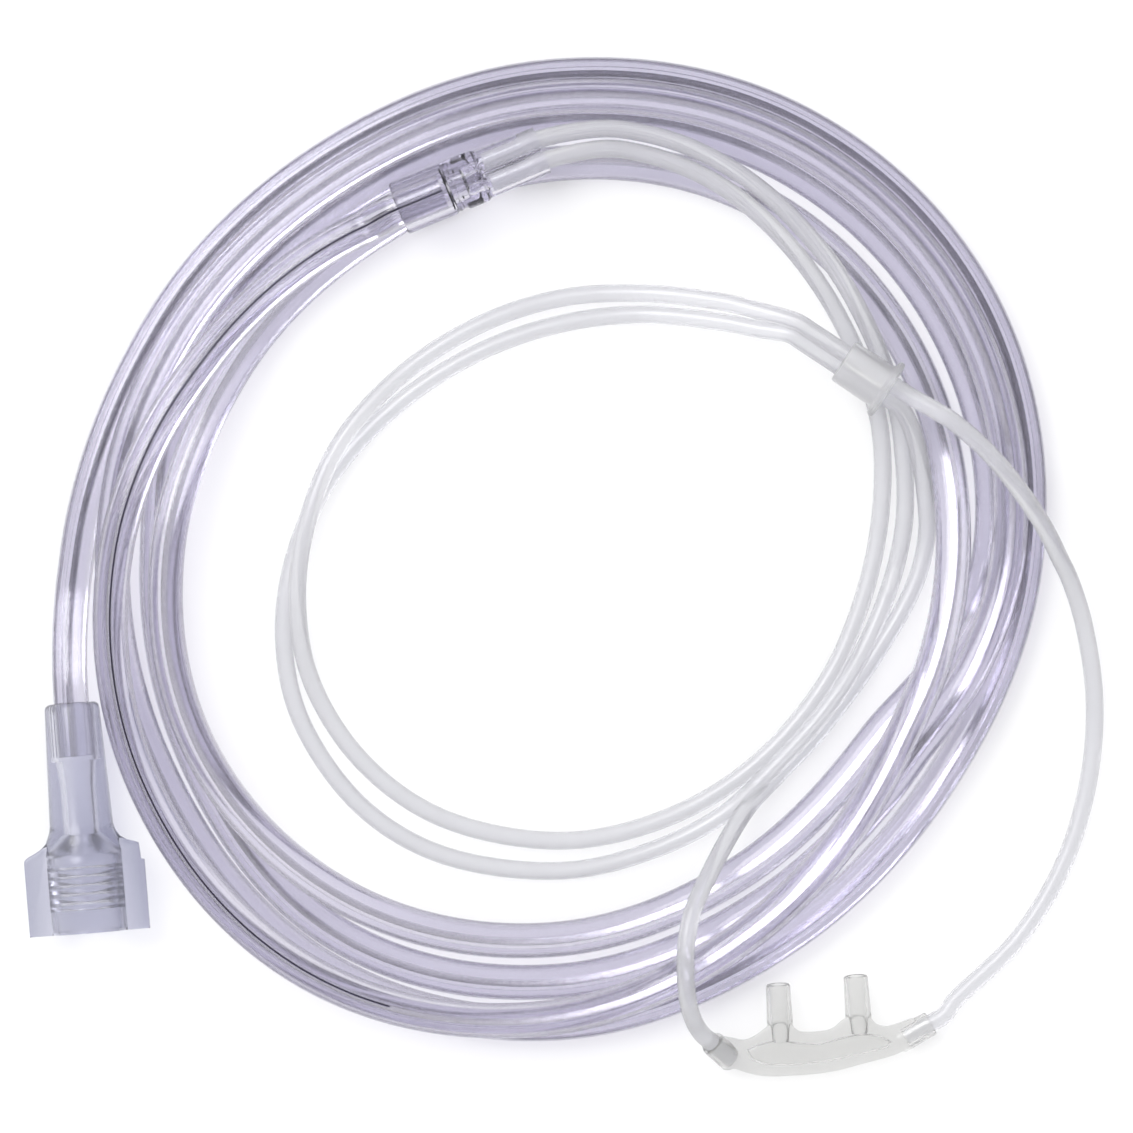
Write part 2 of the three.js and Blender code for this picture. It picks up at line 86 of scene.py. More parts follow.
@dataclass
class CoilRoute:
    """The supply tube's way round its coil, from the connector to the Y piece.

    Each turn lists an angle, a distance from the coil's centre in pixels of the photograph, and the layer.
    """

    diameter: float = 6.7
    squeeze: float = 0.975
    step: float = 1.5
    ramp: float = 9.0
    start_angle: float = 197.0
    start_height: float = 7.3
    descent: float = 13.0
    turns: list[list[tuple[float, float, Layer]]] = field(default_factory=lambda: [
        [(197, 500, F), (190, 487.5, F), (185, 479.5, F), (180, 472.5, F), (165, 458, F), (150, 451, F),
         (120, 453, F), (90, 475.5, F), (60, 497, F), (30, 499, F), (0, 477, F), (-30, 452, F), (-60, 453, F),
         (-90, 471.5, F), (-120, 473, F), (-150, 449, F)],
        [(180, 437, F), (165, 434, U), (150, 430, U), (120, 431, U), (90, 454, U), (60, 475, U), (30, 477, U),
         (0, 458, U), (-15, 438, U), (-30, 413.5, F), (-60, 413, F), (-90, 430, F), (-120, 437, F),
         (-150, 410, F)],
        [(180, 393, F), (165, 398, F), (150, 406, F), (120, 409, F), (90, 432, F), (60, 452, F), (30, 455, F),
         (0, 440, F), (-15, 408, F), (-30, 375, F), (-60, 373, F), (-90, 388, F), (-120, 401, U),
         (-150, 401, U)],
        [(180, 382, U), (165, 371, F), (150, 365, F), (120, 365, F), (90, 388, F), (60, 408, F), (30, 411, F),
         (0, 403, F), (-15, 399, U), (-30, 397, U), (-60, 426, U), (-90, 465, U), (-120, 484, U),
         (-150, 467, U)],
        [(180, 433, U), (165, 413, H), (150, 394, U), (120, 374, U), (114, 374, U)],
    ])

    def knots(self) -> tuple[np.ndarray, np.ndarray, np.ndarray]:
        """The listed points as turned angles, radii in millimetres and layer numbers."""
        flat = [
            (self.start_angle - angle + 360 * k, pixels / PIXELS_PER_MM, layer.value)
            for k, turn in enumerate(self.turns)
            for angle, pixels, layer in turn
        ]
        table = np.array(flat, float)
        return table[:, 0], table[:, 1], table[:, 2]

    def radii(self, turned: np.ndarray) -> np.ndarray:
        """The coil's radius at each turned angle, on one smooth curve through the knots.

        Args:
            turned: angles from the start, clockwise, in degrees.

        Returns:
            Radii in millimetres.
        """
        at, radius, _ = self.knots()
        slope = np.zeros(len(at))
        slope[1:-1] = (radius[2:] - radius[:-2]) / (at[2:] - at[:-2])
        slope[0] = (radius[1] - radius[0]) / (at[1] - at[0])
        i = np.clip(np.searchsorted(at, turned, side="right") - 1, 0, len(at) - 2)
        span = at[i + 1] - at[i]
        u = (turned - at[i]) / span
        return (
            (2 * u**3 - 3 * u**2 + 1) * radius[i]
            + (u**3 - 2 * u**2 + u) * span * slope[i]
            + (-2 * u**3 + 3 * u**2) * radius[i + 1]
            + (u**3 - u**2) * span * slope[i + 1]
        )

    def layers(self, turned: np.ndarray) -> np.ndarray:
        """The layer number at each turned angle: that of the nearest knot."""
        at, _, layer = self.knots()
        return layer[np.abs(turned[:, None] - at[None, :]).argmin(axis=1)]

    def smoothed(self, need: np.ndarray) -> np.ndarray:
        """Raises a tube in a long low hump wherever it has to be high.

        Args:
            need: the least height at each step.

        Returns:
            A smooth height that is nowhere under the least one.
        """
        reach = int(self.ramp / self.step)
        window = 2 * reach + 1
        padded = np.pad(need, 2 * reach, mode="edge")
        wide = np.lib.stride_tricks.sliding_window_view(padded, window).max(axis=1)
        return np.lib.stride_tricks.sliding_window_view(wide, window).mean(axis=1)

    def heights(self, turned: np.ndarray, radius: np.ndarray) -> np.ndarray:
        """Settles the turns on the floor and on each other, layer by layer.

        Args:
            turned: angles from the start, clockwise, in degrees.
            radius: the coil's radius at each of them.

        Returns:
            The height of the tube's middle at each step, in millimetres.
        """
        layer = self.layers(turned)
        turn = (turned // 360).astype(int)
        rest = self.diameter / 2
        touch = self.diameter * self.squeeze
        per_turn = int(round(360 / self.step))
        need = np.full(len(turned), rest)
        height = need.copy()
        for level in Layer:
            for k in range(turn.max() + 1):
                for j in np.where((layer == level.value) & (turn == k))[0]:
                    need[j] = rest
                    for i in range(j % per_turn, len(turned), per_turn):
                        under = layer[i] < layer[j] or (layer[i] == layer[j] and i < j)
                        apart = abs(radius[i] - radius[j])
                        if under and apart < touch:
                            need[j] = max(need[j], height[i] + math.sqrt(touch**2 - apart**2))
                height = self.smoothed(need)
        down = np.clip(turned / self.descent, 0.0, 1.0)
        return height + (self.start_height - rest) * (1 - down * down * (3 - 2 * down))

    def points(self) -> list[tuple[float, float, float]]:
        """The tube's middle line round the coil, in millimetres."""
        turned = np.arange(0.0, self.knots()[0][-1] + 1e-6, self.step)
        radius = self.radii(turned)
        height = self.heights(turned, radius)
        return [
            around_coil(self.start_angle - t, r, z)
            for t, r, z in zip(turned.tolist(), radius.tolist(), height.tolist())
        ]


def smooth_route(points: list[tuple[float, float, float]], step: float) -> list[Vector]:
    """One smooth curve through a given list of points, cut into even steps.

    Args:
        points: millimetres of the part.
        step: distance between the points returned, in millimetres.

    Returns:
        Points of the frame, in metres.
    """
    knots = [Vector(p) for p in points]
    knots = [2 * knots[0] - knots[1], *knots, 2 * knots[-1] - knots[-2]]
    fine: list[Vector] = []
    for a, b, c, d in zip(knots, knots[1:], knots[2:], knots[3:]):
        ta = 0.0
        tb = ta + math.sqrt((b - a).length)
        tc = tb + math.sqrt((c - b).length)
        td = tc + math.sqrt((d - c).length)
        for k in range(CURVE_STEPS):
            t = tb + (tc - tb) * k / CURVE_STEPS
            ab = a * ((tb - t) / (tb - ta)) + b * ((t - ta) / (tb - ta))
            bc = b * ((tc - t) / (tc - tb)) + c * ((t - tb) / (tc - tb))
            cd = c * ((td - t) / (td - tc)) + d * ((t - tc) / (td - tc))
            abc = ab * ((tc - t) / (tc - ta)) + bc * ((t - ta) / (tc - ta))
            bcd = bc * ((td - t) / (td - tb)) + cd * ((t - tb) / (td - tb))
            fine.append(abc * ((tc - t) / (tc - tb)) + bcd * ((t - tb) / (tc - tb)))
    fine.append(knots[-2])
    path = np.array([p[:] for p in fine])
    run = np.concatenate([[0.0], np.cumsum(np.linalg.norm(np.diff(path, axis=0), axis=1))])
    even = np.linspace(0.0, run[-1], max(2, int(round(run[-1] / step))) + 1)
    return [place(*(float(np.interp(s, run, path[:, axis])) for axis in range(3))) for s in even]


def route_length(route: list[Vector]) -> float:
    """The length of a route in metres."""
    return sum((b - a).length for a, b in zip(route, route[1:]))


def frame_along(route: list[Vector], index: int) -> Matrix:
    """The place of a tube's section at one point of its route.

    Args:
        route: the tube's middle line.
        index: which point.

    Returns:
        A matrix whose Z runs along the tube and whose Y is the tube's upper side.
    """
    ahead = route[min(index + 1, len(route) - 1)] - route[max(index - 1, 0)]
    along = ahead.normalized()
    side = FRONT.cross(along).normalized()
    top = along.cross(side)
    turn = Matrix((side, top, along)).transposed().to_4x4()
    return Matrix.Translation(route[index]) @ turn


def to_object(bm: bmesh.types.BMesh, name: str, smooth_angle: float = 180.0) -> bpy.types.Object:
    """Makes a finished bmesh an object at the origin.

    Args:
        bm: the mesh, in metres of the frame.
        name: the piece's name.
        smooth_angle: edges sharper than this stay sharp, in degrees.

    Returns:
        The new object, in the scene.
    """
    mesh = bpy.data.meshes.new(name)
    bm.to_mesh(mesh)
    bm.free()
    piece = bpy.data.objects.new(name, mesh)
    bpy.context.scene.collection.objects.link(piece)
    for polygon in mesh.polygons:
        polygon.use_smooth = True
    if smooth_angle < 180.0:
        mesh.set_sharp_from_angle(angle=math.radians(smooth_angle))
    return piece


@dataclass(frozen=True)
class TubeSection:
    """The cross-section of an extruded tube, in millimetres.

    A star lumen has as many points as lobes; a lumen with no lobes is round.
    """

    outer: float
    lumen_outer: float
    lumen_inner: float
    sides: int = 24
    lobes: int = 0

    def ring(self, lumen: bool) -> list[tuple[float, float]]:
        """The section's outline, the same way round for the outside and the lumen.

        Args:
            lumen: the hollow's outline, or else the outside's.

        Returns:
            Points across the tube in millimetres, one of them straight up.
        """
        depths = [self.outer] * self.sides
        if lumen and self.lobes:
            slope = self.lumen_outer * 0.55 + self.lumen_inner * 0.45
            depths = [self.lumen_outer, slope, self.lumen_inner, slope] * self.lobes
        elif lumen:
            depths = [self.lumen_outer] * self.sides
        turns = [2 * math.pi * k / len(depths) for k in range(len(depths))]
        return [(r * math.cos(t), r * math.sin(t)) for r, t in zip(depths, turns)]


@dataclass
class Tube:
    """A hollow tube along a route, with its two ends closed round the lumen."""

    name: str
    section: TubeSection
    route: list[Vector]

    def wall(self, bm: bmesh.types.BMesh, lumen: bool) -> tuple[list, list]:
        """Wraps a grid of faces round the whole route as one closed wall.

        Args:
            bm: the mesh to add it to.
            lumen: the hollow's wall, or else the outside.

        Returns:
            The edges of the first ring and those of the last.
        """
        lay = bm.verts.layers.float_vector["lay"]
        outline = self.section.ring(lumen)
        outline.append(outline[0])
        width = len(outline)
        made = bmesh.ops.create_grid(bm, x_segments=width - 1, y_segments=len(self.route) - 1, size=0.5)
        grid = made["verts"]
        grid.sort(key=lambda vert: (round(vert.co.y, 6), vert.co.x))
        rows = [grid[k:k + width] for k in range(0, len(grid), width)]
        run = 0.0
        for index, row in enumerate(rows):
            here = frame_along(self.route, index)
            run += (self.route[index] - self.route[max(index - 1, 0)]).length
            for vert, (across, up) in zip(row, outline):
                vert.co = here @ Vector((across * MM, up * MM, 0.0))
                facing = Vector((across, up)).normalized()
                vert[lay] = Vector((facing.x, facing.y, run))
        bmesh.ops.weld_verts(bm, targetmap={row[-1]: row[0] for row in rows})
        ends = (rows[0][:-1], rows[-1][:-1])
        return tuple([bm.edges.get(pair) for pair in zip(end, end[1:] + end[:1])] for end in ends)

    def build(self) -> bpy.types.Object:
        """Makes the tube's mesh.

        Returns:
            The tube as an object.
        """
        bm = bmesh.new()
        bm.verts.layers.float_vector.new("lay")
        outside = self.wall(bm, lumen=False)
        inside = self.wall(bm, lumen=True)
        for outer, inner in zip(outside, inside):
            bmesh.ops.bridge_loops(bm, edges=outer + inner)
        bmesh.ops.recalc_face_normals(bm, faces=bm.faces)
        return to_object(bm, self.name, 50.0)


class Nodes:
    """A short way to add and join the nodes of one material."""

    def __init__(self, tree: bpy.types.NodeTree) -> None:
        """Keeps the tree that the nodes go into."""
        self.tree = tree

    def add(self, kind: str, **values: object) -> bpy.types.Node:
        """Adds a node and sets its plain values.

        Args:
            kind: the node's type name.
            values: socket or property names with underscores for spaces, and their values.

        Returns:
            The node.
        """
        node = self.tree.nodes.new(kind)
        for name, value in values.items():
            socket = node.inputs.get(name.replace("_", " "))
            if socket is None:
                setattr(node, name, value)
            elif isinstance(value, bpy.types.NodeSocket):
                self.tree.links.new(value, socket)
            else:
                socket.default_value = value
        return node

    def math(self, operation: str, *values: object) -> bpy.types.NodeSocket:
        """Adds a Math node.

        Args:
            operation: Blender's name of the operation.
            values: its inputs in order, sockets or numbers.

        Returns:
            The result.
        """
        node = self.tree.nodes.new("ShaderNodeMath")
        node.operation = operation
        for socket, value in zip(node.inputs, values):
            if isinstance(value, bpy.types.NodeSocket):
                self.tree.links.new(value, socket)
            else:
                socket.default_value = value
        return node.outputs[0]


    def mix(self, factor: object, first: object, second: object, blend: str = "MIX") -> bpy.types.NodeSocket:
        """Adds a Mix node for colours.

        Args:
            factor: how much of the second colour there is, a socket or a number.
            first: the first colour, a socket or four numbers.
            second: the second colour.
            blend: Blender's name of the way they blend.

        Returns:
            The mixed colour.
        """
        node = self.tree.nodes.new("ShaderNodeMix")
        node.data_type = "RGBA"
        node.blend_type = blend
        for index, value in zip(COLOUR_MIX_INPUTS, (factor, first, second)):
            if isinstance(value, bpy.types.NodeSocket):
                self.tree.links.new(value, node.inputs[index])
            else:
                node.inputs[index].default_value = value
        return node.outputs[COLOUR_MIX_OUTPUT]


def effect_group(name: str, inputs: dict[str, float]) -> tuple[Nodes, bpy.types.Node, bpy.types.Node]:
    """Starts a shader group that gives a height and a mask.

    Args:
        name: the group's name.
        inputs: its inputs and their usual values.

    Returns:
        Its nodes, its input node and its output node.
    """
    tree = bpy.data.node_groups.new(name, "ShaderNodeTree")
    for label, value in inputs.items():
        socket = tree.interface.new_socket(name=label, in_out="INPUT", socket_type="NodeSocketFloat")
        socket.default_value = value
    for label in ("Height", "Mask"):
        tree.interface.new_socket(name=label, in_out="OUTPUT", socket_type="NodeSocketFloat")
    n = Nodes(tree)
    return n, n.add("NodeGroupInput"), n.add("NodeGroupOutput")


def extrusion_lines_group() -> bpy.types.NodeTree:
    """Fine lines along an extruded tube, and slow thick and thin stretches, as a height and a mask."""
    n, inside, outside = effect_group("extrusion_lines", {"Fineness": 18.0, "Waviness": 0.5})
    lay = n.add("ShaderNodeAttribute", attribute_name="lay")
    parts = n.add("ShaderNodeSeparateXYZ", Vector=lay.outputs["Vector"])
    slow = n.math("MULTIPLY", parts.outputs["Z"], LINES_PER_METRE)
    around_x = n.math("MULTIPLY", parts.outputs["X"], inside.outputs["Fineness"])
    around_y = n.math("MULTIPLY", parts.outputs["Y"], inside.outputs["Fineness"])
    where = n.add("ShaderNodeCombineXYZ", X=around_x, Y=around_y, Z=slow)
    lines = n.add("ShaderNodeTexNoise", Vector=where.outputs[0], Scale=1.0, Detail=3.0, Roughness=0.6)
    drift = n.math("MULTIPLY", parts.outputs["Z"], SWELLS_PER_METRE)
    swell = n.add("ShaderNodeTexNoise", noise_dimensions="1D", W=drift, Scale=1.0, Detail=1.0)
    wave = n.math("MULTIPLY", swell.outputs["Fac"], inside.outputs["Waviness"])
    n.tree.links.new(n.math("ADD", lines.outputs["Fac"], wave), outside.inputs["Height"])
    n.tree.links.new(lines.outputs["Fac"], outside.inputs["Mask"])
    return n.tree


def moulded_skin_group() -> bpy.types.NodeTree:
    """The faint orange peel and flow marks of a soft moulding, as a height and a mask."""
    n, inside, outside = effect_group("moulded_skin", {"Grain": 900.0, "Flow": 90.0})
    spot = n.add("ShaderNodeTexCoord").outputs["Object"]
    peel = n.add("ShaderNodeTexNoise", Vector=spot, Scale=inside.outputs["Grain"], Detail=2.0)
    flow = n.add("ShaderNodeTexNoise", Vector=spot, Scale=inside.outputs["Flow"], Detail=3.0, Distortion=0.6)
    fine = n.math("MULTIPLY", peel.outputs["Fac"], PEEL_SHARE)
    n.tree.links.new(n.math("ADD", fine, flow.outputs["Fac"]), outside.inputs["Height"])
    n.tree.links.new(flow.outputs["Fac"], outside.inputs["Mask"])
    return n.tree


@dataclass(frozen=True)
class VinylFinish:
    """Soft vinyl that light goes through: clear, tinted or milky."""

    name: str
    surface: tuple[float, float, float]
    depth: tuple[float, float, float]
    density: float
    roughness: float
    clearness: float
    ior: float
    shade: tuple[float, float, float]
    bump: float
    on_tube: bool
    stripe_from: float = -1.0

    def material(self, effects: "Effects") -> bpy.types.Material:
        """Makes the finish's material.

        Args:
            effects: the shared shader groups.

        Returns:
            The material.
        """
        made = bpy.data.materials.new(self.name)
        made.use_nodes = True
        made.diffuse_color = (*self.surface, 1.0)
        tree = made.node_tree
        tree.nodes.clear()
        n = Nodes(tree)
        effect = n.add("ShaderNodeGroup", node_tree=effects.lines if self.on_tube else effects.skin)
        bump = n.add("ShaderNodeBump", Strength=self.bump, Distance=RELIEF, Height=effect.outputs["Height"])
        rough = n.add("ShaderNodeMapRange", Value=effect.outputs["Mask"])
        rough.inputs["To Min"].default_value = max(0.0, self.roughness - SMOOTHER_BY)
        rough.inputs["To Max"].default_value = self.roughness + ROUGHER_BY
        greyer = (*(c * GREYER for c in self.surface), 1.0)
        tone = n.mix(effect.outputs["Mask"], greyer, (*self.surface, 1.0))
        # the "thick" mark carries painted depth shade, darkening the colour where the vinyl is thick
        thick = n.add("ShaderNodeAttribute", attribute_name="thick")
        colour = n.mix(thick.outputs["Fac"], tone, PAINTED_DEPTH_SHADE, "MULTIPLY")
        if self.stripe_from >= 0.0:
            colour = self.striped(n, colour)
        vinyl = n.add("ShaderNodeBsdfPrincipled", IOR=self.ior, Base_Color=colour,
                      Normal=bump.outputs["Normal"])
        tree.links.new(rough.outputs["Result"], vinyl.inputs["Roughness"])
        vinyl.inputs["Transmission Weight"].default_value = self.clearness
        light = n.add("ShaderNodeLightPath")
        soft_ray = n.math("MAXIMUM", light.outputs["Is Shadow Ray"], light.outputs["Is Diffuse Ray"])
        through = n.add("ShaderNodeBsdfTransparent", Color=(*self.shade, 1.0))
        mixed = n.add("ShaderNodeMixShader")
        tree.links.new(soft_ray, mixed.inputs[0])
        tree.links.new(vinyl.outputs[0], mixed.inputs[1])
        tree.links.new(through.outputs[0], mixed.inputs[2])
        out = n.add("ShaderNodeOutputMaterial")
        tree.links.new(mixed.outputs[0], out.inputs["Surface"])
        if self.density > 0.0:
            tint = n.add("ShaderNodeVolumeAbsorption", Color=(*self.depth, 1.0), Density=self.density)
            tree.links.new(tint.outputs[0], out.inputs["Volume"])
        return made

    def striped(self, n: Nodes, colour: bpy.types.NodeSocket) -> bpy.types.NodeSocket:
        """Draws the thin dark line along the upper side of the tube's last stretch.

        Args:
            n: the material's nodes.
            colour: the colour beside the line.

        Returns:
            The colour with the line in it.
        """
        lay = n.add("ShaderNodeAttribute", attribute_name="lay")
        parts = n.add("ShaderNodeSeparateXYZ", Vector=lay.outputs["Vector"])
        on_top = n.math("GREATER_THAN", parts.outputs["Y"], STRIPE_EDGE)
        late = n.math("GREATER_THAN", parts.outputs["Z"], self.stripe_from)
        return n.mix(n.math("MULTIPLY", on_top, late), colour, STRIPE_INK)


@dataclass(frozen=True)
class PaperFinish:
    """The plain pale floor."""

    name: str = "pale_floor"
    tone: float = 0.93

    def material(self) -> bpy.types.Material:
        """Makes the floor's material."""
        made = bpy.data.materials.new(self.name)
        made.use_nodes = True
        paint = made.node_tree.nodes["Principled BSDF"]
        paint.inputs["Base Color"].default_value = (self.tone, self.tone, self.tone, 1.0)
        paint.inputs["Roughness"].default_value = 0.9
        paint.inputs["Specular IOR Level"].default_value = 0.1
        return made


@dataclass
class Effects:
    """The shader groups that more than one material uses."""

    lines: bpy.types.NodeTree = field(default_factory=extrusion_lines_group)
    skin: bpy.types.NodeTree = field(default_factory=moulded_skin_group)


@dataclass
class Piece:
    """What the assembly needs to know to dress and place one piece."""

    made: bpy.types.Object
    slot: str
    body: str = "tubing"
    nodes: tuple[str, ...] = ()

    def settle(self, material: bpy.types.Material) -> bpy.types.Object:
        """Dresses the piece, and makes it ride on its body in place of its nodes.

        Args:
            material: the finish.

        Returns:
            The object.
        """
        self.made.data.materials.clear()
        self.made.data.materials.append(material)
        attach(self.made, self.body)
        if self.nodes:
            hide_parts(*self.nodes)
        LOG.info("%s: %d faces on %s", self.made.name, len(self.made.data.polygons), self.body)
        return self.made


class Shape:
    """A closed solid that is turned, joined and cut from simple bmesh shapes, in millimetres."""

    def __init__(self, bm: bmesh.types.BMesh, name: str = "shape") -> None:
        """Makes the solid an object, so that it can be joined or cut."""
        bmesh.ops.recalc_face_normals(bm, faces=bm.faces)
        mesh = bpy.data.meshes.new(name)
        bm.to_mesh(mesh)
        bm.free()
        self.piece = bpy.data.objects.new(name, mesh)
        bpy.context.scene.collection.objects.link(self.piece)

    @classmethod
    def turned(cls, profile: list[tuple[float, float]], sides: int = 96) -> "Shape":
        """Turns a profile round +Y.

        Args:
            profile: radius and height, from the axis to the axis.
            sides: how many steps the full turn has.

        Returns:
            The solid.
        """
        bm = bmesh.new()
        verts = [bm.verts.new((r, y, 0.0)) for r, y in profile]
        edges = [bm.edges.new(pair) for pair in zip(verts, verts[1:])]
        bmesh.ops.spin(bm, geom=verts + edges, cent=(0, 0, 0), axis=(0, 1, 0), angle=2 * math.pi,
                       steps=sides, use_merge=True, use_duplicate=False)
        bmesh.ops.remove_doubles(bm, verts=bm.verts, dist=1e-4)
        return cls(bm)

    @classmethod
    def plate(cls, outline: list[tuple[float, float]], low: float, high: float, round_edge: float) -> "Shape":
        """Extrudes an outline along Z and rounds its rims.

        Args:
            outline: points in the plane.
            low: the bottom's height.
            high: the top's height.
            round_edge: the rims' radius.

        Returns:
            The solid.
        """
        bm = bmesh.new()
        face = bm.faces.new([bm.verts.new((x, y, low)) for x, y in outline])
        made = bmesh.ops.extrude_face_region(bm, geom=[face])["geom"]
        top = [g for g in made if isinstance(g, bmesh.types.BMVert)]
        bmesh.ops.translate(bm, verts=top, vec=(0, 0, high - low))
        bmesh.ops.recalc_face_normals(bm, faces=bm.faces)
        if round_edge:
            rims = [e for e in bm.edges if abs(e.verts[0].co.z - e.verts[1].co.z) < 1e-6]
            bmesh.ops.bevel(bm, geom=rims, offset=round_edge, segments=5, profile=0.5, affect="EDGES",
                            material=-1)
        return cls(bm)

    @classmethod
    def bar(cls, start: Vector, end: Vector, wide: float, narrow: float, sides: int = 48) -> "Shape":
        """A round bar between two points.

        Args:
            start: the middle of its first end.
            end: the middle of its last end.
            wide: the radius at the start.
            narrow: the radius at the end.
            sides: how many sides it has.

        Returns:
            The solid.
        """
        bm = bmesh.new()
        along = end - start
        bmesh.ops.create_cone(bm, cap_ends=True, segments=sides, radius1=wide, radius2=narrow,
                              depth=along.length)
        turn = along.to_track_quat("Z", "Y").to_matrix().to_4x4()
        bmesh.ops.transform(bm, matrix=Matrix.Translation((start + end) / 2) @ turn, verts=bm.verts)
        return cls(bm)

    def apply_modifiers(self) -> None:
        """Makes what the modifiers show the solid's own mesh."""
        graph = bpy.context.evaluated_depsgraph_get()
        result = bpy.data.meshes.new_from_object(self.piece.evaluated_get(graph))
        self.piece.modifiers.clear()
        old = self.piece.data
        self.piece.data = result
        bpy.data.meshes.remove(old)

    def drop(self) -> None:
        """Deletes the solid's object and mesh."""
        gone = self.piece.data
        bpy.data.objects.remove(self.piece)
        bpy.data.meshes.remove(gone)

    def combine(self, other: "Shape", operation: str) -> "Shape":
        """Joins another solid to this one or cuts it out, and uses the other one up.

        Args:
            other: the second solid.
            operation: UNION or DIFFERENCE.

        Returns:
            This solid.
        """
        change = self.piece.modifiers.new("combine", "BOOLEAN")
        change.operation = operation
        change.solver = "EXACT"
        change.object = other.piece
        self.apply_modifiers()
        other.drop()
        return self

    def softened(self, grain: float, softness: int) -> "Shape":
        """Melts the solid's edges and inner corners into soft fillets.

        Args:
            grain: the size of the new faces.
            softness: how many times they are smoothed.

        Returns:
            This solid.
        """
        melt = self.piece.modifiers.new("melt", "REMESH")
        melt.mode = "VOXEL"
        melt.voxel_size = grain
        melt.adaptivity = 0.0
        ease = self.piece.modifiers.new("ease", "SMOOTH")
        ease.factor = 0.5
        ease.iterations = softness
        self.apply_modifiers()
        return self

    def finished(self, name: str, where: Matrix, smooth_angle: float = 38.0) -> bpy.types.Object:
        """Puts the solid in its place in the frame.

        Args:
            name: the piece's name.
            where: its place, in millimetres of the part.
            smooth_angle: edges sharper than this stay sharp, in degrees.

        Returns:
            The piece at the origin, with its place in its mesh.
        """
        bm = bmesh.new()
        bm.from_mesh(self.piece.data)
        self.drop()
        bmesh.ops.remove_doubles(bm, verts=bm.verts, dist=SAME_POINT)
        bmesh.ops.dissolve_degenerate(bm, dist=SAME_POINT, edges=bm.edges)
        shift = Matrix.Diagonal((MM, MM, MM, 1.0)) @ Matrix.Translation((*CENTRING, 0.0))
        bmesh.ops.transform(bm, matrix=shift @ where, verts=bm.verts)
        bmesh.ops.recalc_face_normals(bm, faces=bm.faces)
        return to_object(bm, name, smooth_angle)


def laid_at(x: float, y: float, z: float, turn: float) -> Matrix:
    """The place of a piece that was made along +Y and lies at an angle from +X."""
    return Matrix.Translation((x, y, z)) @ Matrix.Rotation(math.radians(turn - 90.0), 4, "Z")


def stadium(width: float, thick: float, steps: int = 12) -> list[tuple[float, float]]:
    """A flat bar's outline with round ends, long along X."""
    half = (width - thick) / 2
    outline = []
    for side in (1, -1):
        for k in range(steps + 1):
            turn = math.pi * (k / steps - 0.5)
            outline.append((side * (half + math.cos(turn) * thick / 2), side * math.sin(turn) * thick / 2))
    return outline


def along_y(outline: list[tuple[float, float]], start: float, end: float) -> Shape:
    """Extrudes a section along +Y.

    Args:
        outline: the section, X across and Y up.
        start: where it begins on the axis.
        end: where it ends.

    Returns:
        The solid.
    """
    bm = bmesh.new()
    face = bm.faces.new([bm.verts.new((x, start, z)) for x, z in outline])
    made = bmesh.ops.extrude_face_region(bm, geom=[face])["geom"]
    far = [g for g in made if isinstance(g, bmesh.types.BMVert)]
    bmesh.ops.translate(bm, verts=far, vec=(0, end - start, 0))
    return Shape(bm)


